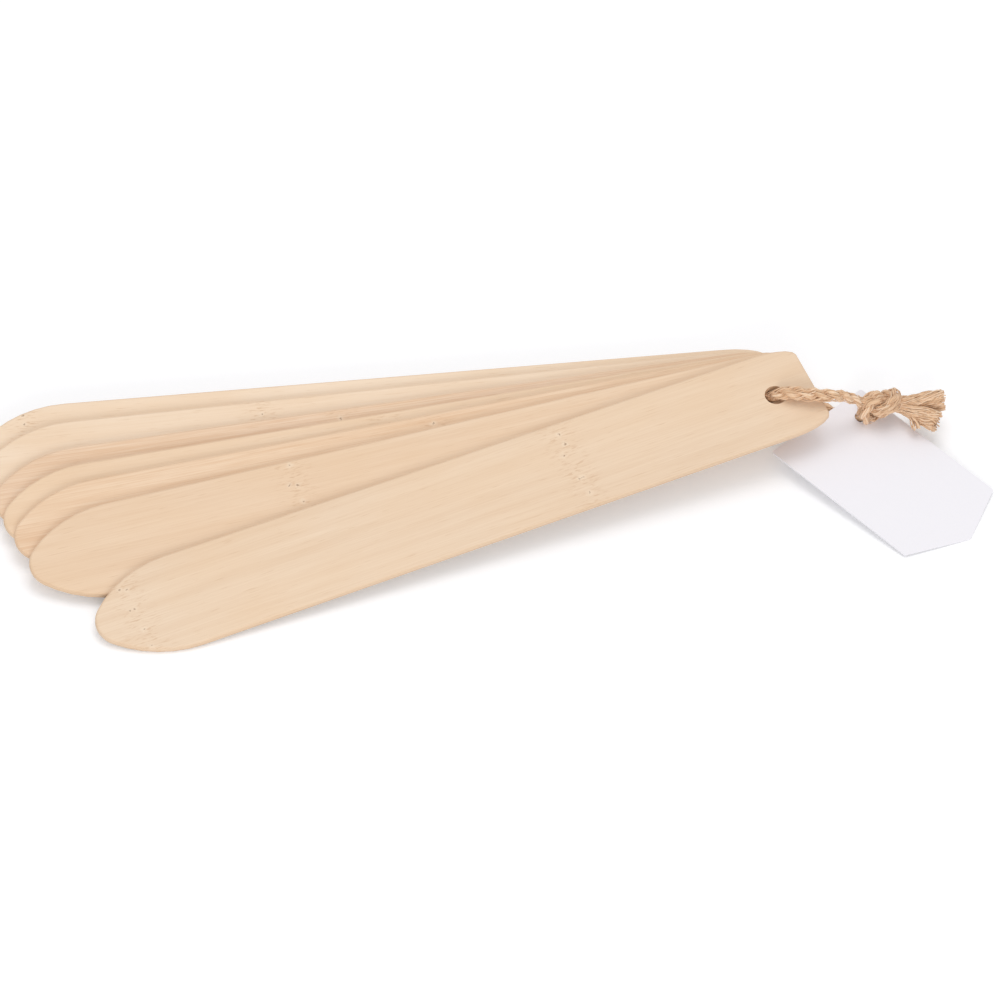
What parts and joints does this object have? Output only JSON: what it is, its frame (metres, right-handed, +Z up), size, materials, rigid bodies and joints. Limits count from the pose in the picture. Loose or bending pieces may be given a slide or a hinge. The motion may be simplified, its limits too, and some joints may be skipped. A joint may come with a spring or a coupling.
{
  "type": "plant label stake",
  "caption": "Fanned bundle of flat bamboo plant label stakes with rounded tips, threaded on a knotted jute twine that also holds a blank pointed card tag.",
  "frame": {"origin": "on the ground, straight below the middle of the bottom stake's hole", "axes": "+X towards the hole end and the twine, the tips point to -X; +Y towards the back of the fan; +Z up"},
  "size_m": [0.3011, 0.1226, 0.0221],
  "materials": {
    "bamboo": "sanded bare bamboo",
    "jute": "two-ply twisted twine, frayed ends",
    "card": "matt white card"
  },
  "bodies": {
    "bottom_stake": {"stake_1": "bamboo", "lower_leg": "jute", "hole_run": "jute", "upper_leg": "jute", "knot": "jute", "back_tail": "jute", "front_tail": "jute"},
    "stake_2": {"stake_2": "bamboo"},
    "stake_3": {"stake_3": "bamboo"},
    "stake_4": {"stake_4": "bamboo"},
    "stake_5": {"stake_5": "bamboo"},
    "stake_6": {"stake_6": "bamboo"},
    "stake_7": {"stake_7": "bamboo"},
    "tag": {"tag": "card"}
  },
  "joints": [
    {"name": "stake_2_swing", "type": "hinge", "parent": "bottom_stake", "child": "stake_2", "pos_m": [0.00041, -0.00335, 0.00751], "axis": [-0.0326, -0.2054, 0.9781], "range_deg": [-1.6, 20]},
    {"name": "stake_3_swing", "type": "hinge", "parent": "bottom_stake", "child": "stake_3", "pos_m": [0.00135, -0.00628, 0.00933], "axis": [-0.0326, -0.2054, 0.9781], "range_deg": [-4, 20]},
    {"name": "stake_4_swing", "type": "hinge", "parent": "bottom_stake", "child": "stake_4", "pos_m": [0.00248, -0.00892, 0.01121], "axis": [-0.0326, -0.2054, 0.9781], "range_deg": [-5.6, 20]},
    {"name": "stake_5_swing", "type": "hinge", "parent": "bottom_stake", "child": "stake_5", "pos_m": [0.00392, -0.01145, 0.01313], "axis": [-0.0326, -0.2054, 0.9781], "range_deg": [-7.2, 20]},
    {"name": "stake_6_swing", "type": "hinge", "parent": "bottom_stake", "child": "stake_6", "pos_m": [0.00556, -0.01409, 0.01503], "axis": [-0.0326, -0.2054, 0.9781], "range_deg": [-9.6, 20]},
    {"name": "stake_7_swing", "type": "hinge", "parent": "bottom_stake", "child": "stake_7", "pos_m": [0.0073, -0.01673, 0.01694], "axis": [-0.0326, -0.2054, 0.9781], "range_deg": [-16, 20]},
    {"name": "tag_swing", "type": "hinge", "parent": "bottom_stake", "child": "tag", "pos_m": [0.0359, -0.0204, 0.0043], "axis": [0.0363, -0.0669, 0.9971], "range_deg": [0, 50]}
  ]
}
